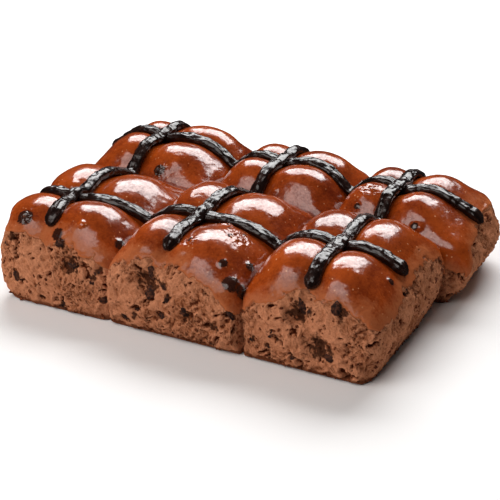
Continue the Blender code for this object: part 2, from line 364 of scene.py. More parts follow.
def bun_shapes(cell):
    """Centre, half size and powers of the core, the slab under it and the four pillows."""
    x_low, x_high, y_low, y_high, cross_x, cross_y, crest = cell
    top = crest - CORE_BELOW_CREST
    level = (top - CORE_UNDER) / 2
    centre = np.array(((x_low + x_high) / 2, (y_low + y_high) / 2, level))
    half = np.array(((x_high - x_low) / 2, (y_high - y_low) / 2, top - level))
    half[:2] += CORE_PAST_CREASE
    shapes = [(centre, half, CORE_POWERS)]
    slab_centre = np.array((centre[0], centre[1], SLAB_LEVEL))
    slab_half = np.array((half[0], half[1], crest - SLAB_BELOW_CREST - SLAB_LEVEL))
    shapes.append((slab_centre, slab_half, SLAB_POWERS))
    for x_edge in (x_low, x_high):
        for y_edge in (y_low, y_high):
            ends = []
            for edge, cross in ((x_edge, cross_x), (y_edge, cross_y)):
                outward = math.copysign(1, edge - cross)
                ends.append((edge + outward * PILLOW_PAST_CREASE, cross - outward * PAST_CROSS))
            height = crest + uneven.uniform(-PILLOW_UNEVEN, PILLOW_UNEVEN)
            centre = np.array((sum(ends[0]) / 2, sum(ends[1]) / 2, height - PILLOW_RISE))
            sides = [abs(end - other_end) for end, other_end in ends]
            half = np.array((*sides, 2 * PILLOW_RISE)) / 2
            shapes.append((centre, half, PILLOW_POWERS))
    return shapes


shapes_of = {name: bun_shapes(cell) for name, cell in CELLS.items()}
print("shapes in each bun:", {name: len(shapes) for name, shapes in shapes_of.items()})

# %% Raise each bun from a subdivided cube
CUTS = 63
HALVINGS = 22
VOXEL = 0.58 * MM
SOFTENING, SOFTEN_STEPS = 0.5, 6


def raise_bun(name, cell, shapes):
    """A cube at the bun's place, subdivided, pushed out to the dough's surface and remeshed."""
    x_low, x_high, y_low, y_high, cross_x, cross_y, crest = cell
    bun = fresh(bpy.ops.mesh.primitive_cube_add, size=2, location=(0, 0, 0))
    bun.name = f"bun_{name}"
    bpy.ops.object.mode_set(mode="EDIT")
    bpy.ops.mesh.select_all(action="SELECT")
    bpy.ops.mesh.subdivide(number_cuts=CUTS)
    bpy.ops.object.mode_set(mode="OBJECT")
    corners = places(bun)
    heart = np.array((cross_x, cross_y, HEART_HEIGHT))
    low = np.array((x_low, y_low, 0)) - heart
    high = np.array((x_high, y_high, crest)) - heart
    rays = np.where(corners < 0, -corners * low, corners * high)
    rays /= np.linalg.norm(rays, axis=1)[:, None]
    near, far = np.zeros(len(rays)), np.full(len(rays), 2 * (x_high - x_low))
    for _ in range(HALVINGS):
        half_way = (near + far) / 2
        inside = dough(heart + rays * half_way[:, None], shapes) < 0
        near = np.where(inside, half_way, near)
        far = np.where(inside, far, half_way)
    move_to(bun, (heart + rays * near[:, None] + to_batch) * MM)
    apply_modifier(bun, "REMESH", mode="VOXEL", voxel_size=VOXEL)
    apply_modifier(bun, "SMOOTH", factor=SOFTENING, iterations=SOFTEN_STEPS)
    bun.data.shade_smooth()
    return bun


buns = {name: raise_bun(name, CELLS[name], shapes_of[name]) for name in CELLS}
print("quads:", {name: len(bun.data.polygons) for name, bun in buns.items()})

# %% [markdown]
# ## Crust above, torn crumb below
#
# The glaze ends where the neighbouring bun was. On each outer side the tear starts at its own
# height, so a line of heights is set down along every side, read off between them, and made
# ragged with noise. The result is kept on the mesh as an attribute, which both the relief and the
# material read, so that the crumb's colour always sits on the crumb's shape.

# %% How high the tear reaches along each side, in mm
# side: (places along it, heights there)
TEAR_LINES = {
    "front": (
        (-97, -85, -70, -58, -42, -31, -22, -8, 10, 25, 37, 44, 55, 68, 86, 96, 101),
        (33, 35, 33, 34.5, 31, 26, 35, 36.5, 35, 31, 21, 28, 34, 36, 34, 30, 26),
    ),
    "right": (
        (-79, -68, -50, -35, -20, -5, 4, 12, 25, 40, 55, 66),
        (26, 26, 29, 32, 35, 27, 15, 24, 30, 33, 32, 28),
    ),
    "back": (
        (-97, -80, -60, -40, -27, -10, 10, 30, 40, 60, 85, 108),
        (24, 31, 29, 32, 18, 28, 33, 26, 17, 30, 27, 24),
    ),
    "left": (
        (-79, -60, -45, -25, 0, 7, 14, 40, 60, 69),
        (31, 30, 33, 29, 22, 15, 24, 31, 27, 25),
    ),
}
SIDE_REACH = 7.0                  # a side's line holds for about this far in from it
FRONT_WINS, FRONT_WINS_AT = 7.0, (4, -10)  # the front line counts more at the front right
CRUMB_DEPTH, DEPTH_BLEND, DEPTH_DROP = 13.0, 6.0, 30.0  # no tear further inside than this
RAGGED = ((9.0, 3.4), (2.6, 1.5), (1.1, 0.5))  # (grain, height) of the ragged edge
RAGGED_BAND = 9.0
TORN_BLEND = 0.9                  # half the height over which crust turns into crumb
EDGE_SCALE = 10.0                 # the stored height over the edge is 1 at this many mm
UNDERSIDE = (-0.6, -0.95)         # how far down a normal points there
FOOT_BAND = (4.5, 0.5)
print("tear line places:", {side: len(spots) for side, (spots, _) in TEAR_LINES.items()})

# %% The tear's height over any place
def grain(points, size, shift=0.0):
    """Soft noise from about -1 to 1 with features of this size."""
    scaled = points / size + shift
    return np.array([noise.noise(Vector(place)) for place in scaled.tolist()])


def tear_height(points):
    """The height of the tear's edge over each point, in mm."""
    x, y = points[:, 0], points[:, 1]
    away = {
        "front": y - OUTLINE[2],
        "right": OUTLINE[1] - x + FRONT_WINS * smooth_step(*FRONT_WINS_AT, y),
        "back": OUTLINE[3] - y,
        "left": x - OUTLINE[0],
    }
    total, weight = np.zeros(len(points)), np.zeros(len(points))
    for side, (spots, heights) in TEAR_LINES.items():
        share = np.exp(-np.maximum(away[side], 0) / SIDE_REACH) + 1e-9
        along = x if side in ("front", "back") else y
        total += share * np.interp(along, spots, heights)
        weight += share
    return total / weight


print("tear height at the front left corner:", tear_height(np.array(((-97.0, -83.0),))).round(1), "mm")

# %% Mark what is torn
def mark_torn(bun):
    """Stores where each point lies: how torn, how far below the tear's edge, underside, foot."""
    points = places(bun) / MM - to_batch
    edge = tear_height(points)
    edge -= DEPTH_DROP * smooth_step(CRUMB_DEPTH, CRUMB_DEPTH + DEPTH_BLEND, inside_outline(points))
    near_edge = np.abs(points[:, 2] - edge) < RAGGED_BAND
    for size, height in RAGGED:
        edge[near_edge] += height * grain(points[near_edge], size, shift=size)
    below_edge = edge - points[:, 2]
    torn = smooth_step(-TORN_BLEND, TORN_BLEND, below_edge)
    keep(bun, "torn", torn)
    keep(bun, "edge", np.clip(below_edge / EDGE_SCALE, -1, 1))
    keep(bun, "base", smooth_step(*UNDERSIDE, normals(bun)[:, 2]))
    keep(bun, "foot", smooth_step(*FOOT_BAND, points[:, 2]))
    return torn


torn_of = {name: mark_torn(bun) for name, bun in buns.items()}
print("torn share:", {name: round(float(torn.mean()), 2) for name, torn in torn_of.items()})

# %% [markdown]
# ## Node maths that reads like sums
#
# Relief and materials here are small calculations: masks and noises are added and multiplied
# until they say how dark, how rough and how raised the surface is. Adding a Math node for each
# sum by hand hides the idea. So a small class wraps a socket and lets Python's own operators add
# the nodes, both in a material and in a geometry tree.

# %% The wire class
class Wire:
    """An output socket that takes part in sums by adding Math nodes."""

    def __init__(self, nodes, socket):
        self.nodes, self.socket = nodes, socket

    @staticmethod
    def node(nodes, kind, settings=None, sockets=None, output=0):
        """Adds a node, makes its settings, then fills or links its sockets."""
        made = nodes.nodes.new(kind)
        for setting, value in (settings or {}).items():
            setattr(made, setting, value)
        for key, value in (sockets or {}).items():
            named = [socket for socket in made.inputs if socket.identifier == key]
            target = named[0] if named else made.inputs[key]
            if isinstance(value, Wire):
                nodes.links.new(value.socket, target)
            else:
                target.default_value = value
        return None if output is None else Wire(nodes, made.outputs[output])

    def sum(self, operation, first, second=0.0):
        """One Math node on two numbers or wires."""
        sockets = {0: first, 1: second}
        return Wire.node(self.nodes, "ShaderNodeMath", {"operation": operation}, sockets)

    def __add__(self, other):
        return self.sum("ADD", self, other)

    def __sub__(self, other):
        return self.sum("SUBTRACT", self, other)

    def __mul__(self, other):
        return self.sum("MULTIPLY", self, other)

    def __pow__(self, other):
        return self.sum("POWER", self, other)

    def __rsub__(self, other):
        return self.sum("SUBTRACT", other, self)

    def __abs__(self):
        return self.sum("ABSOLUTE", self)

    def most(self, other):
        """The larger of the two."""
        return self.sum("MAXIMUM", self, other)

    def ramp(self, low, high):
        """0 at low and 1 at high, smoothly."""
        sockets = {"Value": self, "From Min": low, "From Max": high}
        return Wire.node(self.nodes, "ShaderNodeMapRange", {"interpolation_type": "SMOOTHSTEP"}, sockets)

    __radd__ = __add__
    __rmul__ = __mul__


print("wires ready")

# %% Places and stored marks, in either kind of tree
def where(nodes):
    """The place on the piece."""
    if nodes.type == "SHADER":
        return Wire.node(nodes, "ShaderNodeTexCoord", output=3)
    return Wire.node(nodes, "GeometryNodeInputPosition")


def kept(nodes, label, kind="FLOAT"):
    """A number or a place that was stored on the mesh."""
    if nodes.type == "SHADER":
        output = 2 if kind == "FLOAT" else 1
        return Wire.node(nodes, "ShaderNodeAttribute", {"attribute_name": label}, output=output)
    return Wire.node(nodes, "GeometryNodeInputNamedAttribute", {"data_type": kind}, {"Name": label})


print("places and marks ready")

# %% Patterns, in either kind of tree
def noise_of(place, size, detail=2.0, rough=0.5, output=0):
    """Noise with features of about this size in mm."""
    sockets = {"Vector": place, "Scale": 1 / (size * MM), "Detail": detail, "Roughness": rough}
    return Wire.node(place.nodes, "ShaderNodeTexNoise", {}, sockets, output)


def cells_of(place, size):
    """The distance to the middle of scattered cells of about this size in mm."""
    sockets = {"Vector": place, "Scale": 1 / (size * MM)}
    return Wire.node(place.nodes, "ShaderNodeTexVoronoi", {}, sockets)


def warped(place, size, reach):
    """The place pushed about by noise, so that a pattern on it swirls."""
    push = noise_of(place, size, 1.0, output=1)
    sockets = {"Vector": push, "Vector_001": (reach * MM,) * 3, "Vector_002": place}
    return Wire.node(place.nodes, "ShaderNodeVectorMath", {"operation": "MULTIPLY_ADD"}, sockets)


def leaning(place, degrees, squeeze):
    """The place turned and squeezed, so that a pattern on it runs one way."""
    sockets = {"Vector": place, "Rotation": [math.radians(angle) for angle in degrees]}
    turned = Wire.node(place.nodes, "ShaderNodeVectorRotate", {"rotation_type": "EULER_XYZ"}, sockets)
    sockets = {"Vector": turned, "Vector_001": squeeze}
    return Wire.node(place.nodes, "ShaderNodeVectorMath", {"operation": "MULTIPLY"}, sockets)


def swing(pattern, height):
    """A noise turned into a height of up to half of this much above or below."""
    return (pattern - 0.5) * height


def ridged(pattern, sharpness):
    """1 along the middle of a noise's slopes, falling off to both sides."""
    return (1 - abs(pattern * 2 - 1)) ** sharpness


print("patterns ready")

# %% [markdown]
# ## Spots
#
# A batch is full of accidents: chips that stick out of the torn crumb, chips that show dark
# through the crust, hollows, blisters in the glaze and rough patches. They are listed once, with
# a place, a radius and a kind, and snapped to the dough. Each leaves three marks on the mesh:
# a stain, a rise or a hollow, and roughness.

# %% Where the spots are, in mm
# kind: (x, y, z, radius)
SPOTS = {
    "chip": (
        (-51, -80, 25.5, 3.4), (-39, -79, 21, 2.2), (-81, -80, 15, 3.0), (-56, -79, 2.5, 2.4),
        (-33.5, -79, 11, 2.0), (-35, -79, 26, 2.0), (-88, -76, 27, 2.0), (-68, -80, 5, 1.6),
        (-7, -83, 30, 2.8), (1.5, -83, 28.5, 2.2), (-8, -83, 25.5, 3.0), (12.3, -84, 14.5, 3.4),
        (-1.4, -84, 12.5, 2.6), (-14.6, -84, 8.7, 2.6), (-20.5, -83, 6, 2.8), (25.6, -84, 12.5, 2.6),
        (3.3, -84, 22.5, 1.8), (33, -82, 20, 2.4), (21, -84, 4, 2.0), (4, -84, 4, 1.8),
        (70.7, -80, 31, 1.6), (85, -80, 32.5, 3.2), (55.4, -81, 15, 2.8), (79.5, -81, 12.5, 3.6),
        (44.5, -80, 11, 1.8), (51.5, -81, 9.5, 1.8), (92, -78, 8, 2.0), (63, -81, 8, 1.6),
        (100, -44, 29, 1.8), (100, -57, 20, 1.7), (99, -30, 12, 2.2), (100, -21, 20, 1.7), (97, -66, 7, 2.0),
        (107, 10, 26, 2.2), (108, 25, 17, 2.0), (106, 40, 10, 2.4), (108, 50, 18, 1.8),
    ),
    "tall chip": ((65.2, -80, 29, 2.6),),
    "buried": (
        (-80.5, -70.7, 40, 3.6), (-85, -78, 32.5, 2.6), (-60, -74, 37, 2.8), (-57, -77, 34.5, 2.4),
        (-32, -65, 33.4, 2.6), (-57, 10.8, 37.5, 3.0), (25.7, -71.6, 39.5, 2.0), (33, -77.5, 34, 3.8),
        (35, -63, 36, 2.4), (36, -75.5, 29.5, 3.0), (84, 7, 35, 1.8), (53.8, 9.2, 38.9, 1.6),
        (-20, 10, 37, 2.2), (-88, 55, 36, 2.6), (95, -52, 36, 1.8),
    ),
    "hollow": ((75.5, -81, 14.5, 5.5), (65.2, -80, 28, 4.2), (-51, -80, 26, 4.5), (-8, -83, 28, 6.0)),
    "blister": (
        (2.3, -71, 41, 4.0), (-49.6, -69, 42, 1.7), (86.2, 6.6, 35.5, 1.7), (-78, -35, 45.5, 3.0),
        (8, 12, 38, 1.5), (60, -66, 41, 1.4), (-22, -20, 42, 1.6),
    ),
    "membrane": (
        (-70, -80, 17, 9.0), (58, -81, 22, 7.5), (82, -81, 22, 5.5), (-2, -83, 20, 5.0), (101, 35, 22, 5.0),
    ),
    "rough": (
        (12, -44, 43, 4.0), (22.5, -53, 43.5, 5.5), (56, 19, 44.5, 4.5), (17, 37, 46, 5.0),
        (6.4, -66, 43.5, 2.6), (-57, 11, 37.6, 3.4), (-80.5, -71, 40.3, 3.6),
    ),
}
SPOT_MARKS = {  # kind: (stain, rise in mm, roughness)
    "chip": (0.75, -0.8, 0.3),
    "tall chip": (0.80, -1.0, 0.3),
    "buried": (0.9, 0.7, 0.25),
    "hollow": (0.90, -3.2, 0.5),
    "blister": (0.15, 1.0, 0.0),
    "membrane": (0.0, 0.9, -1.0),
    "rough": (0.25, 0.3, 1.0),
}
print("spots placed by hand:", sum(len(spots) for spots in SPOTS.values()))

# %% Spots out of view, and how strong the marks are
TALL_CHIP = 2.2    # a tall chip's height over its width
MARK_SPREAD, MARK_POWER = 1.15, 1.5
HIDDEN_CHIPS = 26  # on the two sides that turn away, at random
BACK_SHARE, BACK_RANGE, LEFT_RANGE = 0.55, (-88, 98), (-68, 58)
CHIP_HEIGHTS, CHIP_RADII = (3, 24), (1.6, 3.2)
spread = np.random.default_rng(SEED + 3)
turned_away = []
for _ in range(HIDDEN_CHIPS):
    height = spread.uniform(*CHIP_HEIGHTS)
    if spread.random() < BACK_SHARE:
        spot = (spread.uniform(*BACK_RANGE), OUTLINE[3] + 1)
    else:
        spot = (OUTLINE[0], spread.uniform(*LEFT_RANGE))
    turned_away.append((*spot, height, spread.uniform(*CHIP_RADII)))
SPOTS["chip"] = SPOTS["chip"] + tuple(turned_away)
print("spots:", {kind: len(spots) for kind, spots in SPOTS.items()})

# %% Mark the spots on the meshes
def mark_spots(bun):
    """Stores stain, rise in mm and roughness on each point near a spot."""
    points = places(bun) / MM - to_batch
    marks = np.zeros((3, len(points)))
    for kind, spots in SPOTS.items():
        tall = TALL_CHIP if kind == "tall chip" else 1.0
        for x, y, z, radius in spots:
            gap = (points - (x, y, z)) / (1, 1, tall)
            near = np.exp(-((gap**2).sum(axis=1) / (radius * MARK_SPREAD) ** 2) ** MARK_POWER)
            for mark, strength in zip(marks, SPOT_MARKS[kind]):
                stronger = np.abs(strength * near) > np.abs(mark)
                mark[stronger] = (strength * near)[stronger]
    for label, values in zip(("stain", "rise", "rough"), marks):
        keep(bun, label, values)


for bun in buns.values():
    mark_spots(bun)
print("marks stored")

# %% [markdown]
# ## Relief in one geometry tree
#
# Torn bread is many shapes laid over each other: broad lumps, stretched folds and strings of
# gluten, clefts, and pores of every size. They could be sculpted, but the same few patterns,
# swirled and leant different ways, give a whole batch at once and stay easy to tune. Each is
# a height in mm along the surface's normal, held to the torn part by the stored mask.

# %% Start and end of a tree
def new_tree(name):
    """A geometry tree with one mesh in and one out, and its incoming mesh."""
    tree = bpy.data.node_groups.new(name, "GeometryNodeTree")
    for direction in ("INPUT", "OUTPUT"):
        tree.interface.new_socket("Mesh", in_out=direction, socket_type="NodeSocketGeometry")
    return tree, Wire.node(tree, "NodeGroupInput")


def push_out(mesh, height):
    """Ends a tree with its mesh moved along the normals by this height in mm."""
    nodes = mesh.nodes
    normal = Wire.node(nodes, "GeometryNodeInputNormal")
    scaled = {"Vector": normal, "Scale": height * MM}
    offset = Wire.node(nodes, "ShaderNodeVectorMath", {"operation": "SCALE"}, scaled)
    moved = Wire.node(nodes, "GeometryNodeSetPosition", {}, {"Geometry": mesh, "Offset": offset})
    Wire.node(nodes, "NodeGroupOutput", {}, {0: moved}, None)


print("tree helpers ready")

# %% The crumb's relief
RELIEF_INSET = 0.7  # keeps the lumps' average on the dough's surface


def openness(place):
    """1 where the crumb is open, 0 on the smooth skins of stretched gluten."""
    skin = (kept(place.nodes, "rough") * -1.6).most(0)
    return (noise_of(place, 19, 1).ramp(0.43, 0.56) - skin).most(0)


def crumb_height(place):
    """The relief of torn crumb. Each noise has its size, then its height, in mm."""
    swirled = warped(place, 12, 9)
    open_crumb = openness(place)
    right_lean = leaning(swirled, (15, 38, 0), (1, 1, 0.34))
    left_lean = leaning(swirled, (-10, -42, 20), (1, 1, 0.34))
    broad = swing(noise_of(swirled, 14, 2), 4.0)
    folds = ridged(noise_of(right_lean, 6, 2), 9) * 0.6 * (1 - open_crumb)
    folds = folds + ridged(noise_of(left_lean, 9, 2), 10) * 0.6
    pockets = noise_of(swirled, 7, 3, 0.6).ramp(0.58, 0.68) * -2.8
    fine = open_crumb * 0.75 + 0.25
    pits = (0.50 - cells_of(left_lean, 3.0)).most(0) * -2.2 * open_crumb
    fine_pits = (0.42 - cells_of(right_lean, 1.7)).most(0) * -1.8 * fine
    strings = swing(noise_of(left_lean, 1.3, 3, 0.7), 1.3) * fine
    tiny = swing(noise_of(place, 1.0, 2, 0.6), 1.0) * fine
    return broad + folds + pockets + pits + fine_pits + strings + tiny - RELIEF_INSET


print("the crumb lies", RELIEF_INSET, "mm in")

# %% The crust's relief, and the whole tree
def crust_height(place, rough, edge):
    """The relief of the glazed crust: swells, dimples, the tear's lip and broken glaze."""
    swell = swing(noise_of(place, 24, 1), 1.3)
    dimples = swing(noise_of(place, 5, 2), 0.4)
    lip = edge.ramp(-0.3, -0.02) * noise_of(place, 4, 2) * 0.5
    broken = rough.most(0) * swing(noise_of(place, 1.9, 3, 0.6), 3.4)
    return swell + dimples + lip + broken


relief, mesh = new_tree("bread_relief")
place = where(relief)
torn_here, base_here = kept(relief, "torn"), kept(relief, "base")
height = torn_here * crumb_height(place)
crust = crust_height(place, kept(relief, "rough"), kept(relief, "edge"))
height = height + (1 - torn_here) * crust
height = (height + kept(relief, "rise")) * (1 - base_here)
push_out(mesh, height)
print("relief nodes:", len(relief.nodes))

# %% Raise the relief on every bun
for bun in buns.values():
    apply_modifier(bun, "NODES", node_group=relief)
    rest_on_floor(bun)
print("tallest bun:", round(max(bun.dimensions.z for bun in buns.values()) / MM, 1), "mm")

# %% [markdown]
# ## The strands
#
# The crosses are piped on as long ropes of cocoa paste, right across the batch. Each rope starts
# as a flat grid, which is rolled into a tube along its route. The route is found by dropping a
# ray on the dough, so the rope sags into every crease. A Curve with a bevel would be quicker, but
# a rolled grid lets each ring be squashed, ridged and tapered in its own way.

# %% Where the dough's surface is
def surface_tree(objects):
    """A search tree over several meshes at once."""
    points, faces = [], []
    for obj in objects:
        first = len(points)
        points += [vertex.co for vertex in obj.data.vertices]
        faces += [[first + corner for corner in face.vertices] for face in obj.data.polygons]
    return BVHTree.FromPolygons(points, faces)


dough_tree = surface_tree(buns.values())
RAY_START = 0.1


def top_height(x, y):
    """The height of the dough over this place, all in metres."""
    hit = dough_tree.ray_cast(Vector((x, y, RAY_START)), Vector((0, 0, -1)))[0]
    return hit.z if hit else 0.0


print("height at the middle:", round(top_height(0, 0) / MM, 1), "mm")

# %% The ropes' routes, in mm, through the crosses
ROPE_STEP, ROPE_RADIUS, ROPE_SINK = 0.6, 2.9, 0.9
LEFT_INSETS, RIGHT_INSETS, BACK_INSET = (-10.0, -9.0), (1.0, 0.0), 1.5
FRONT_INSETS = (6.0, 10.5, 4.5)
FRONT_STRAY = (4.8, 1.3, 0.7)  # how far each crosswise rope's front end strays sideways
BRIDGE_RISE, BRIDGE_LENGTH = 2.2, 7.0
SAG_STEPS = 9  # a rope is too stiff to follow dips shorter than this
LOWEST_REST, DROOP = 26.0, 0.45  # a rope's end hangs where the dough under it is lower than this


def route_through(stations):
    """Even steps along a line that eases from each station's sideways place to the next."""
    lengths = [after[0] - before[0] for before, after in zip(stations, stations[1:])]
    count = round(sum(lengths) / ROPE_STEP)
    route = []
    for step in range(count + 1):
        along = step / count * sum(lengths)
        leg = 0
        while leg < len(lengths) - 1 and along > lengths[leg]:
            along -= lengths[leg]
            leg += 1
        ease = (1 - math.cos(math.pi * along / lengths[leg])) / 2
        (start, side), (_, next_side) = stations[leg], stations[leg + 1]
        route.append((start + along, side + (next_side - side) * ease))
    return np.array(route)


print("a rope is a ring every", ROPE_STEP, "mm")

# %% Through every cross
def row_route(row):
    """A rope's route from left to right through a row's crosses."""
    cells = [CELLS[name] for name in ROWS[row]]
    stations = [(cells[0][0] + LEFT_INSETS[row], cells[0][5])]
    stations += [(cell[4], cell[5]) for cell in cells]
    stations.append((cells[-1][1] - RIGHT_INSETS[row], cells[-1][5]))
    return route_through(stations)


def column_route(column):
    """A rope's route from front to back through two crosses."""
    cells = [CELLS[row[column]] for row in ROWS]
    stations = [(cells[0][2] + FRONT_INSETS[column], cells[0][4] + FRONT_STRAY[column])]
    stations += [(cell[5], cell[4]) for cell in cells]
    stations.append((cells[-1][3] - BACK_INSET, cells[-1][4]))
    return route_through(stations)[:, ::-1]


routes = {"strand_along_front": row_route(0), "strand_along_back": row_route(1)}
for column, side in enumerate(("left", "middle", "right")):
    routes[f"strand_across_{side}"] = column_route(column)
print("rope lengths in plan:", {name: round(len(route) * ROPE_STEP) for name, route in routes.items()})


# %% Lay the ropes on the dough
def lay(name, route):
    """The rope's middle line in metres, resting on the dough and bridging what it crosses."""
    plan = (route + to_batch[:2]) * MM
    heights = np.array([top_height(x, y) for x, y in plan]) + (ROPE_RADIUS - ROPE_SINK) * MM
    steps = np.arange(len(plan))
    held = steps[heights > LOWEST_REST * MM]
    heights = np.interp(steps, held, heights[held])
    past = np.maximum(held[0] - steps, 0) + np.maximum(steps - held[-1], 0)
    heights -= past * ROPE_STEP * DROOP * MM
    padded = np.pad(heights, SAG_STEPS, mode="edge")
    window = np.hanning(2 * SAG_STEPS + 3)[1:-1]
    heights = np.convolve(padded, window / window.sum(), mode="valid")
    if name.startswith("strand_across"):
        for cell in CELLS.values():
            away = np.hypot(route[:, 0] - cell[4], route[:, 1] - cell[5]) / BRIDGE_LENGTH
            bridge = (1 + np.cos(np.pi * np.minimum(away, 1))) / 2
            heights += BRIDGE_RISE * MM * np.where(away < 1, bridge, 0)
    return np.column_stack((plan, heights))


middle_lines = {name: lay(name, route) for name, route in routes.items()}
for name, line in middle_lines.items():
    print(name, "height", round(line[:, 2].min() / MM, 1), "to", round(line[:, 2].max() / MM, 1), "mm")

# %% The ropes' section
SIDES = 40
STRETCH = 9.0  # the paste's grain runs along the rope
WIDE, TALL = 1.12, 0.84
END_LENGTH, END_BLOB, BLOB_AT = 5.0, 0.16, (4.0, 3.2)
SWELLS = ((0.12, 9.0, 0), (0.07, 2.6, 4))  # (share of the radius, length in mm, shift)
GROOVE_STRAY, GROOVE_DEPTH, GROOVE_WIDTH = 0.45, 0.20, 0.30
BANK_SHARE, BANK_AT = 0.6, (0.75, 0.32)  # the raised banks of the groove
COMB_RIDGES, COMB_RISE = 5, 0.035        # fine ridges that the nozzle leaves


def along_noise(along, size, seed, shift):
    """Soft noise along a rope, from about -1 to 1."""
    return np.array([noise.noise(Vector((spot / size, seed, shift))) for spot in along])


print("a rope is about", round(2 * ROPE_RADIUS * WIDE, 1), "mm wide")

# %% Roll one rope, then all five
def roll_rope(name, line, seed):
    """A grid rolled into a flattened tube with a wandering groove, closed at both ends."""
    rings = len(line)
    rope = fresh(bpy.ops.mesh.primitive_grid_add, x_subdivisions=rings - 1, y_subdivisions=SIDES, size=2)
    rope.name = name.replace("strand", "paste")
    flat = places(rope)
    ring = np.round((flat[:, 0] + 1) / 2 * (rings - 1)).astype(int)
    angle = (flat[:, 1] + 1) * math.pi
    ahead = np.gradient(line, axis=0)
    ahead /= np.linalg.norm(ahead, axis=1)[:, None]
    sideways = np.cross(ahead, (0, 0, 1))
    sideways /= np.linalg.norm(sideways, axis=1)[:, None]
    upward = np.cross(sideways, ahead)
    along = np.arange(rings) * ROPE_STEP
    from_end = np.minimum(along, along[::-1])
    taper = np.sqrt(np.clip(1 - (1 - np.minimum(from_end / END_LENGTH, 1)) ** 2, 0, 1))
    swelling = 1 + sum(share * along_noise(along, size, seed, shift) for share, size, shift in SWELLS)
    swelling += END_BLOB * hump(from_end, *BLOB_AT)
    groove_at = math.pi / 2 + GROOVE_STRAY * along_noise(along, 12, seed, 9)
    groove_deep = GROOVE_DEPTH * smooth_step(-0.25, 0.25, along_noise(along, 8, seed, 14))
    off_groove = (angle - groove_at[ring] + math.pi) % (2 * math.pi) - math.pi
    ridges = -groove_deep[ring] * hump(off_groove, 0, GROOVE_WIDTH)
    ridges += BANK_SHARE * groove_deep[ring] * hump(np.abs(off_groove), *BANK_AT)
    comb = COMB_RIDGES * off_groove + 2 * along_noise(along, 6, seed, 19)[ring]
    ridges += COMB_RISE * np.cos(comb)
    radius = ROPE_RADIUS * MM * taper[ring] * (swelling[ring] + ridges)
    across, above = np.cos(angle) * WIDE, np.sin(angle) * TALL
    round_line = sideways[ring] * across[:, None] + upward[ring] * above[:, None]
    move_to(rope, line[ring] + round_line * radius[:, None])
    stretched = np.column_stack((along[ring] / STRETCH + seed, np.cos(angle), np.sin(angle)))
    keep(rope, "grain_place", stretched * ROPE_RADIUS * MM, "FLOAT_VECTOR")
    bpy.ops.object.mode_set(mode="EDIT")
    bpy.ops.mesh.select_all(action="SELECT")
    bpy.ops.mesh.remove_doubles(threshold=0.00001)
    bpy.ops.mesh.normals_make_consistent(inside=False)
    bpy.ops.object.mode_set(mode="OBJECT")
    rope.data.shade_smooth()
    return rope


ropes = {}
for seed, (name, line) in enumerate(middle_lines.items()):
    ropes[name] = roll_rope(name, line, seed * 3.7)
print("rope quads:", {name: len(rope.data.polygons) for name, rope in ropes.items()})

# %% Wrinkle the ropes
paste_relief, mesh = new_tree("paste_relief")
place = where(paste_relief)
drawn = kept(paste_relief, "grain_place", "FLOAT_VECTOR")
height = swing(noise_of(place, 4.0, 2), 1.1) + swing(noise_of(place, 1.6, 1), 0.3)
push_out(mesh, height + swing(noise_of(drawn, 1.7, 2), 1.1))
for rope in ropes.values():
    apply_modifier(rope, "NODES", node_group=paste_relief)
print("a rope is now", round(ropes["strand_along_front"].dimensions.z / MM, 1), "mm from low to high")

# %% [markdown]
# ## Chocolate chips
#
# Chips melt and set again in the oven, so none is a clean drop: each is a crumbly lump, flattened
# where it touches the dough. One subdivided ball is added at each spot, squashed along the
# surface's normal, roughened with its own noise, and all of them are joined into one piece.

# %% One chip
CHIP_DEPTH = 0.55                          # how thick a chip is against its width
CHIP_LUMPS = ((0.42, 0.9), (0.20, 0.32))   # (height, size) of its lumps, against its radius


def add_chip(spot, radius, tall, rise, seed):
    """A rough lump on the dough nearest this spot, standing out by this share of its radius."""
    found, normal, _, _ = dough_tree.find_nearest(Vector((np.array(spot) + to_batch) * MM))
    chip = fresh(bpy.ops.mesh.primitive_ico_sphere_add, subdivisions=4, radius=1, location=(0, 0, 0))
    ball = places(chip)
    lumpy = 1 + sum(height * grain(ball, size, shift=seed) for height, size in CHIP_LUMPS)
    shaped = ball * lumpy[:, None] * np.array((1.0, CHIP_DEPTH, tall)) * radius * MM
    chip_turn = np.array(normal.to_track_quat("-Y", "Z").to_matrix())
    outward = np.array(found) + np.array(normal) * radius * MM * rise
    move_to(chip, shaped @ chip_turn.T + outward)
    chip.data.shade_smooth()
    return chip


print("a chip of 5 mm is", 5 * CHIP_DEPTH, "mm thick")

# %% All the chips
SMALL_CHIPS = (
    (13, -44, 43.5, 1.5), (21, -55, 44, 1.9), (24, -48, 43.3, 1.6), (17, -50, 44, 1.2),
    (57, 19, 45, 1.3), (54, 17, 44.6, 1.1), (16, 37, 45.5, 1.7), (19, 36, 45.3, 1.4),
    (-57, 10.8, 37.6, 1.9), (-80.5, -71, 40.5, 1.7), (6.4, -66, 43.7, 1.4), (35, -63, 36.3, 1.6),
    (-60, -74, 37, 2.4), (-57, -77, 34.5, 2.3),
)
# spots, share of their radius, tallness, rise, and the step and start of their seeds
CHIP_SETS = (
    (SPOTS["chip"], 0.95, 1.15, -0.55, 1.7, 0.0),
    (SPOTS["tall chip"], 0.90, TALL_CHIP, -0.50, 1.0, 50.5),
    (SMALL_CHIPS, 1.00, 1.00, -0.50, 2.3, 80.0),
)
chips = []
for spots, share, tall, rise, seed_step, first_seed in CHIP_SETS:
    for number, (*spot, radius) in enumerate(spots):
        chips.append(add_chip(spot, radius * share, tall, rise, number * seed_step + first_seed))
bpy.ops.object.select_all(action="DESELECT")
for chip in chips:
    chip.select_set(True)
bpy.context.view_layer.objects.active = chips[0]
bpy.ops.object.join()
chip_piece = bpy.context.object
chip_piece.name = "chocolate_chips"
print("chips:", len(chips), "with", len(chip_piece.data.polygons), "faces")

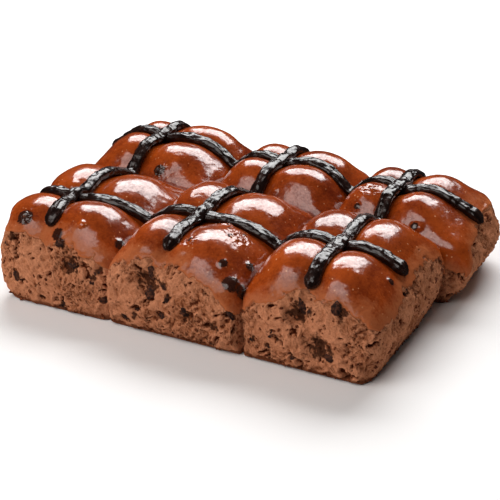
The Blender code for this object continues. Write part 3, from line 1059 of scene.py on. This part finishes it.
# %% [markdown]
# ## Loose crumbs
#
# Tearing leaves shreds that still cling on, most of them along the bottom edge. A geometry tree
# scatters one small rough ball over the torn parts, turned and squashed at random, and turns the
# result into real mesh. They all form one piece.

# %% Where crumbs cling
CRUMB_DENSITY = 26000.0      # in each square metre of the torn sides
FOOT_DENSITY = 3.2           # as many times more at the foot
CRUMB_SIZE = (0.35, 1.15)    # smallest and largest radius in mm
CRUMB_SQUASH = ((0.6, 0.4, 0.3), (1.5, 1.0, 0.7))

crumb_piece = fresh(bpy.ops.mesh.primitive_ico_sphere_add, subdivisions=2, radius=MM, location=(0, 0, 0))
crumb_piece.name = "torn_crumbs"
scatter, mesh = new_tree("crumb_scatter")
batch = scatter.nodes.new("GeometryNodeJoinGeometry")
for bun in buns.values():
    dough_mesh = Wire.node(scatter, "GeometryNodeObjectInfo", {}, {"Object": bun}, 4)
    scatter.links.new(dough_mesh.socket, batch.inputs[0])
thickly = kept(scatter, "torn") * (1 - kept(scatter, "base"))
thickly = thickly * (kept(scatter, "foot") * FOOT_DENSITY + 1) * CRUMB_DENSITY
on_batch = {"Mesh": Wire(scatter, batch.outputs[0]), "Density": thickly, "Seed": SEED}
spots_on = Wire.node(scatter, "GeometryNodeDistributePointsOnFaces", {}, on_batch)


print("crumb spots on", len(buns), "buns")

# %% Turn, squash and roughen the crumbs
def random_of(kind, low, high, seed):
    """A random value between two for each crumb."""
    keys = ("Min", "Max") if kind == "FLOAT_VECTOR" else ("Min_001", "Max_001")
    output = 0 if kind == "FLOAT_VECTOR" else 1
    sockets = {keys[0]: low, keys[1]: high, "Seed": seed}
    return Wire.node(scatter, "FunctionNodeRandomValue", {"data_type": kind}, sockets, output)


radii = random_of("FLOAT", *CRUMB_SIZE, 1)
squashed = {"Vector": random_of("FLOAT_VECTOR", *CRUMB_SQUASH, 2), "Scale": radii}
size = Wire.node(scatter, "ShaderNodeVectorMath", {"operation": "SCALE"}, squashed)
placing = {"Points": spots_on, "Instance": mesh, "Scale": size}
placing["Rotation"] = random_of("FLOAT_VECTOR", (0, 0, 0), (math.tau,) * 3, 3)
scattered = Wire.node(scatter, "GeometryNodeInstanceOnPoints", {}, placing)
scattered = Wire.node(scatter, "GeometryNodeRealizeInstances", {}, {"Geometry": scattered})
push_out(scattered, swing(noise_of(where(scatter), 0.8, 2, 0.6), 1.2))
apply_modifier(crumb_piece, "NODES", node_group=scatter)
rest_on_floor(crumb_piece)
crumb_piece.data.shade_smooth()
print("crumb faces:", len(crumb_piece.data.polygons))

# %% [markdown]
# ## Crust and crumb as one material
#
# The crust is dark dough under a sugar glaze: smooth, with fine blisters, and redder where
# it is thick. The crumb is the same dough unbaked by direct heat: paler and quite matt. Painted
# shade darkens the crumb's pores and hollows, and the crust's pits a little, and painted light
# brightens the crumb's torn ridges. Both live in one material, because they share a mesh, and
# the torn attribute mixes them with a little noise so that the edge looks ripped.

# %% Keep how deep each point lies under the surface round it
CAVITY_SOFTENING, CAVITY_STEPS = 0.6, 26
CAVITY_FULL = 0.7 * MM


# the bread's material reads this to paint shade into pits and light onto ridges
def keep_cavity(obj):
    """Stores -1 on ridges to 1 in pits, against a smoothed copy, and gives the deepest pit."""
    only(obj)
    bpy.ops.object.duplicate()
    copy = bpy.context.object
    apply_modifier(copy, "SMOOTH", factor=CAVITY_SOFTENING, iterations=CAVITY_STEPS)
    depth = ((places(copy) - places(obj)) * normals(copy)).sum(axis=1) / CAVITY_FULL
    bpy.data.objects.remove(copy, do_unlink=True)
    keep(obj, "cavity", np.clip(depth, -1, 1))
    return depth.max() * CAVITY_FULL / MM


print("deepest pits:", {name: round(float(keep_cavity(bun)), 1) for name, bun in buns.items()}, "mm")

# %% Material helpers
def new_material(name):
    """A material, its node tree, its shader, and the place on the piece."""
    made = bpy.data.materials.new(name)
    made.use_nodes = True
    nodes = made.node_tree
    return made, nodes, nodes.nodes["Principled BSDF"], where(nodes)


def mixed(factor, first, second):
    """A colour between two."""
    sockets = {"Factor_Float": factor, "A_Color": first, "B_Color": second}
    return Wire.node(factor.nodes, "ShaderNodeMix", {"data_type": "RGBA"}, sockets, 2)


def bumped(height):
    """A bump from a height in mm."""
    return Wire.node(height.nodes, "ShaderNodeBump", {}, {"Height": height, "Distance": MM})


def dress(nodes, shader, **sockets):
    """Links wires to the shader, and sets plain values on it."""
    for label, value in sockets.items():
        target = shader.inputs[label.replace("_", " ")]
        if isinstance(value, Wire):
            nodes.links.new(value.socket, target)
        else:
            target.default_value = value


def paint(pieces, material):
    """Gives the pieces this material alone."""
    for piece in pieces:
        piece.data.materials.clear()
        piece.data.materials.append(material)
    print(material.name, "has", len(material.node_tree.nodes), "nodes")


print("material helpers ready")

# %% The bread's colours
CRUST_DEEP = (0.128, 0.0135, 0.0014, 1)
CRUST_WARM = (0.390, 0.0650, 0.0070, 1)
CRUST_PALE = (0.370, 0.1080, 0.0400, 1)
CRUST_STAINED = (0.030, 0.0070, 0.0030, 1)
SUGAR_LIGHT = (0.620, 0.2600, 0.1200, 1)
CRUMB_DARK = (0.090, 0.0200, 0.0080, 1)
CRUMB_MIDDLE = (0.250, 0.0770, 0.0300, 1)
CRUMB_LIGHT = (0.545, 0.2200, 0.1120, 1)
CRUMB_STAINED = (0.034, 0.0105, 0.0055, 1)
print("the crust's redness over its blueness:", round(CRUST_WARM[0] / CRUST_WARM[2]))

# %% The crust's part of the bread's material
bread_material, nodes, shader, place = new_material("glazed_bread")
ragged = noise_of(place, 1.2, 3) - 0.5
torn_here = (kept(nodes, "torn") + ragged * 1.1).ramp(0.30, 0.70)
edge, cavity, stain = kept(nodes, "edge"), kept(nodes, "cavity"), kept(nodes, "stain")
broad = noise_of(place, 20)
mottle = noise_of(place, 4.0, 4, 0.6)
speckle = noise_of(place, 1.0, 2, 0.6)
# tone that differs at random, with painted shade in the crust's pits and painted light on its ridges
warmth_and_cavity_shade = (broad * 0.6 + mottle * 0.35 + speckle * 0.25 - cavity * 0.15).ramp(0.35, 0.85)
crust_color = mixed(warmth_and_cavity_shade, CRUST_DEEP, CRUST_WARM)
# grains of undissolved sugar
sugar_dots = (0.17 - cells_of(place, 2.8)).ramp(0.0, 0.05)
crust_color = mixed(sugar_dots * mottle.ramp(0.4, 0.6), crust_color, SUGAR_LIGHT)
# the glaze runs thin and pale towards the tear
thin = (edge + mottle * 0.6 + speckle * 0.3).ramp(-0.35, 0.40)
crust_color = mixed(thin * 0.85, crust_color, CRUST_PALE)
# chips under the skin show through it
blotted = (stain + mottle * 0.7 + speckle * 0.5 - 0.6).ramp(0.25, 0.55)
crust_color = mixed(blotted, crust_color, CRUST_STAINED)
print("crust done,", len(nodes.nodes), "nodes so far")

# %% The crumb's part, its bumps and the shader
swirled = warped(place, 9, 7)
fibre = noise_of(leaning(swirled, (0, 30, 0), (1, 1, 0.35)), 1.5, 4, 0.65)
patchy = noise_of(swirled, 7, 4, 0.6)
flecks = noise_of(place, 0.9, 3, 0.7)
dusty = noise_of(place, 0.5, 2, 0.7)
open_crumb = openness(place)
# the crumb's tone differs at random and is lighter on smooth skins; painted shade darkens its hollows and
# painted light brightens its ridges
lightness_and_cavity_shade = patchy * 0.75 + fibre * 0.60 + flecks * 0.55 + dusty * 0.60
lightness_and_cavity_shade = (lightness_and_cavity_shade + (1 - open_crumb) * 0.14 - cavity * 0.35).ramp(0.85, 1.62)
crumb_color = mixed(lightness_and_cavity_shade, CRUMB_MIDDLE, CRUMB_LIGHT)
# painted shade in pores, pits and hollows, and darker streaks that run one way
specks = noise_of(leaning(swirled, (0, 20, 0), (1, 1, 0.6)), 1.1, 3, 0.7)
pores = (0.50 - cells_of(leaning(swirled, (0, 35, 0), (1, 1, 0.5)), 1.5)).ramp(0.08, 0.34)
holes = (specks.ramp(0.55, 0.68) * 0.7).most(pores * open_crumb * 0.7) * (open_crumb * 0.6 + 0.4)
# painted shade where the crumb lies deep in a hollow
deep = (cavity * 0.9 + fibre * 0.6 - 0.3).ramp(0.15, 0.75)
streaks = noise_of(leaning(swirled, (0, -35, 0), (1, 1, 0.25)), 1.8, 4, 0.7)
# darker along the foot, partly the browner bake there and partly painted shade where the bread meets the
# floor, and nearly black where chocolate melted in
foot_bake_and_shade = (kept(nodes, "foot") * 0.9 + patchy * 1.6 + fibre * 0.6 - 1.35).ramp(0.0, 0.5)
for mask in (holes, deep, streaks.ramp(0.55, 0.72) * 0.6, foot_bake_and_shade * 0.8):
    crumb_color = mixed(mask, crumb_color, CRUMB_DARK)
soaked = (stain * 0.75 + mottle * 1.7 + fibre * 1.5 - 1.6).ramp(0.20, 0.55)
crumb_color = mixed(soaked * 0.92, crumb_color, CRUMB_STAINED)

glaze_height = speckle * 0.10 + mottle * 0.12 + flecks * 0.12 + sugar_dots * 0.10
torn_height = fibre * 0.8 + flecks * 0.5 + dusty * 0.35 - holes * 0.5
patches = (speckle + mottle).ramp(0.75, 1.15) * 0.35 + 0.6
dress(
    nodes, shader,
    Base_Color=mixed(torn_here, crust_color, crumb_color),
    Roughness=torn_here * 0.50 + thin * 0.12 + mottle * 0.12 + 0.30,
    Coat_Weight=(1 - torn_here) * (1 - thin * 0.75) * patches,
    Normal=bumped(torn_here * torn_height + (1 - torn_here) * glaze_height),
    Coat_Roughness=0.16,
    Coat_IOR=1.75,
    Specular_IOR_Level=0.0,
)
paint(buns.values(), bread_material)

# %% [markdown]
# ## Cocoa paste and chocolate
#
# The paste bakes almost black, with a skin that is shiny on its ridges and duller in its folds.
# Chips are the same colour but matt, and dusted with the crumb that they were torn from.

# %% The strands' material
PASTE_DARK, PASTE_LIGHT = (0.0055, 0.0018, 0.0012, 1), (0.026, 0.0090, 0.0060, 1)
paste_material, nodes, shader, place = new_material("cocoa_paste")
skin = noise_of(kept(nodes, "grain_place", "FLOAT_VECTOR"), 1.5, 4, 0.6)
fine = noise_of(place, 0.8, 3, 0.6)
dress(
    nodes, shader,
    Base_Color=mixed(skin.ramp(0.35, 0.75), PASTE_DARK, PASTE_LIGHT),
    Roughness=(skin * 0.6 + fine * 0.5).ramp(0.4, 0.8) * 0.22 + 0.12,
    Normal=bumped(skin * 0.16 + fine * 0.06),
)
paint(ropes.values(), paste_material)

# %% The chips' material
CHIP_DARK, CHIP_LIGHT = (0.010, 0.0035, 0.0025, 1), (0.040, 0.0140, 0.0090, 1)
CHIP_DUSTY = (0.150, 0.0480, 0.0220, 1)
chocolate_material, nodes, shader, place = new_material("baked_chocolate")
dust = noise_of(place, 1.3, 4, 0.65)
fine = noise_of(place, 0.7, 3, 0.6)
chip_color = mixed(fine.ramp(0.35, 0.7), CHIP_DARK, CHIP_LIGHT)
chip_color = mixed(dust.ramp(0.45, 0.68) * 0.85, chip_color, CHIP_DUSTY)
dress(
    nodes, shader,
    Base_Color=chip_color,
    Roughness=dust.ramp(0.4, 0.6) * 0.3 + 0.55,
    Normal=bumped(fine * 0.5 + dust * 0.3),
    Specular_IOR_Level=0.25,
)
paint([chip_piece], chocolate_material)

# %% The loose crumbs' material
crumb_material, nodes, shader, place = new_material("loose_crumb")
tone = noise_of(place, 2.0, 3, 0.6)
dress(
    nodes, shader,
    Base_Color=mixed(tone.ramp(0.35, 0.65), CRUMB_DARK, CRUMB_MIDDLE),
    Normal=bumped(noise_of(place, 0.5, 2, 0.6) * 0.3),
    Roughness=0.85,
    Specular_IOR_Level=0.12,
)
paint([crumb_piece], crumb_material)

# %% [markdown]
# ## Hand over to the frame
#
# Every piece rides on the one body. The buns and the ropes stand in for the solids that they
# cover, which are hidden.

# %% Ride and replace
for name, bun in buns.items():
    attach(bun, "root")
    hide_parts("bread")
for name, rope in ropes.items():
    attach(rope, "root")
    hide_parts(name)
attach(chip_piece, "root")
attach(crumb_piece, "root")
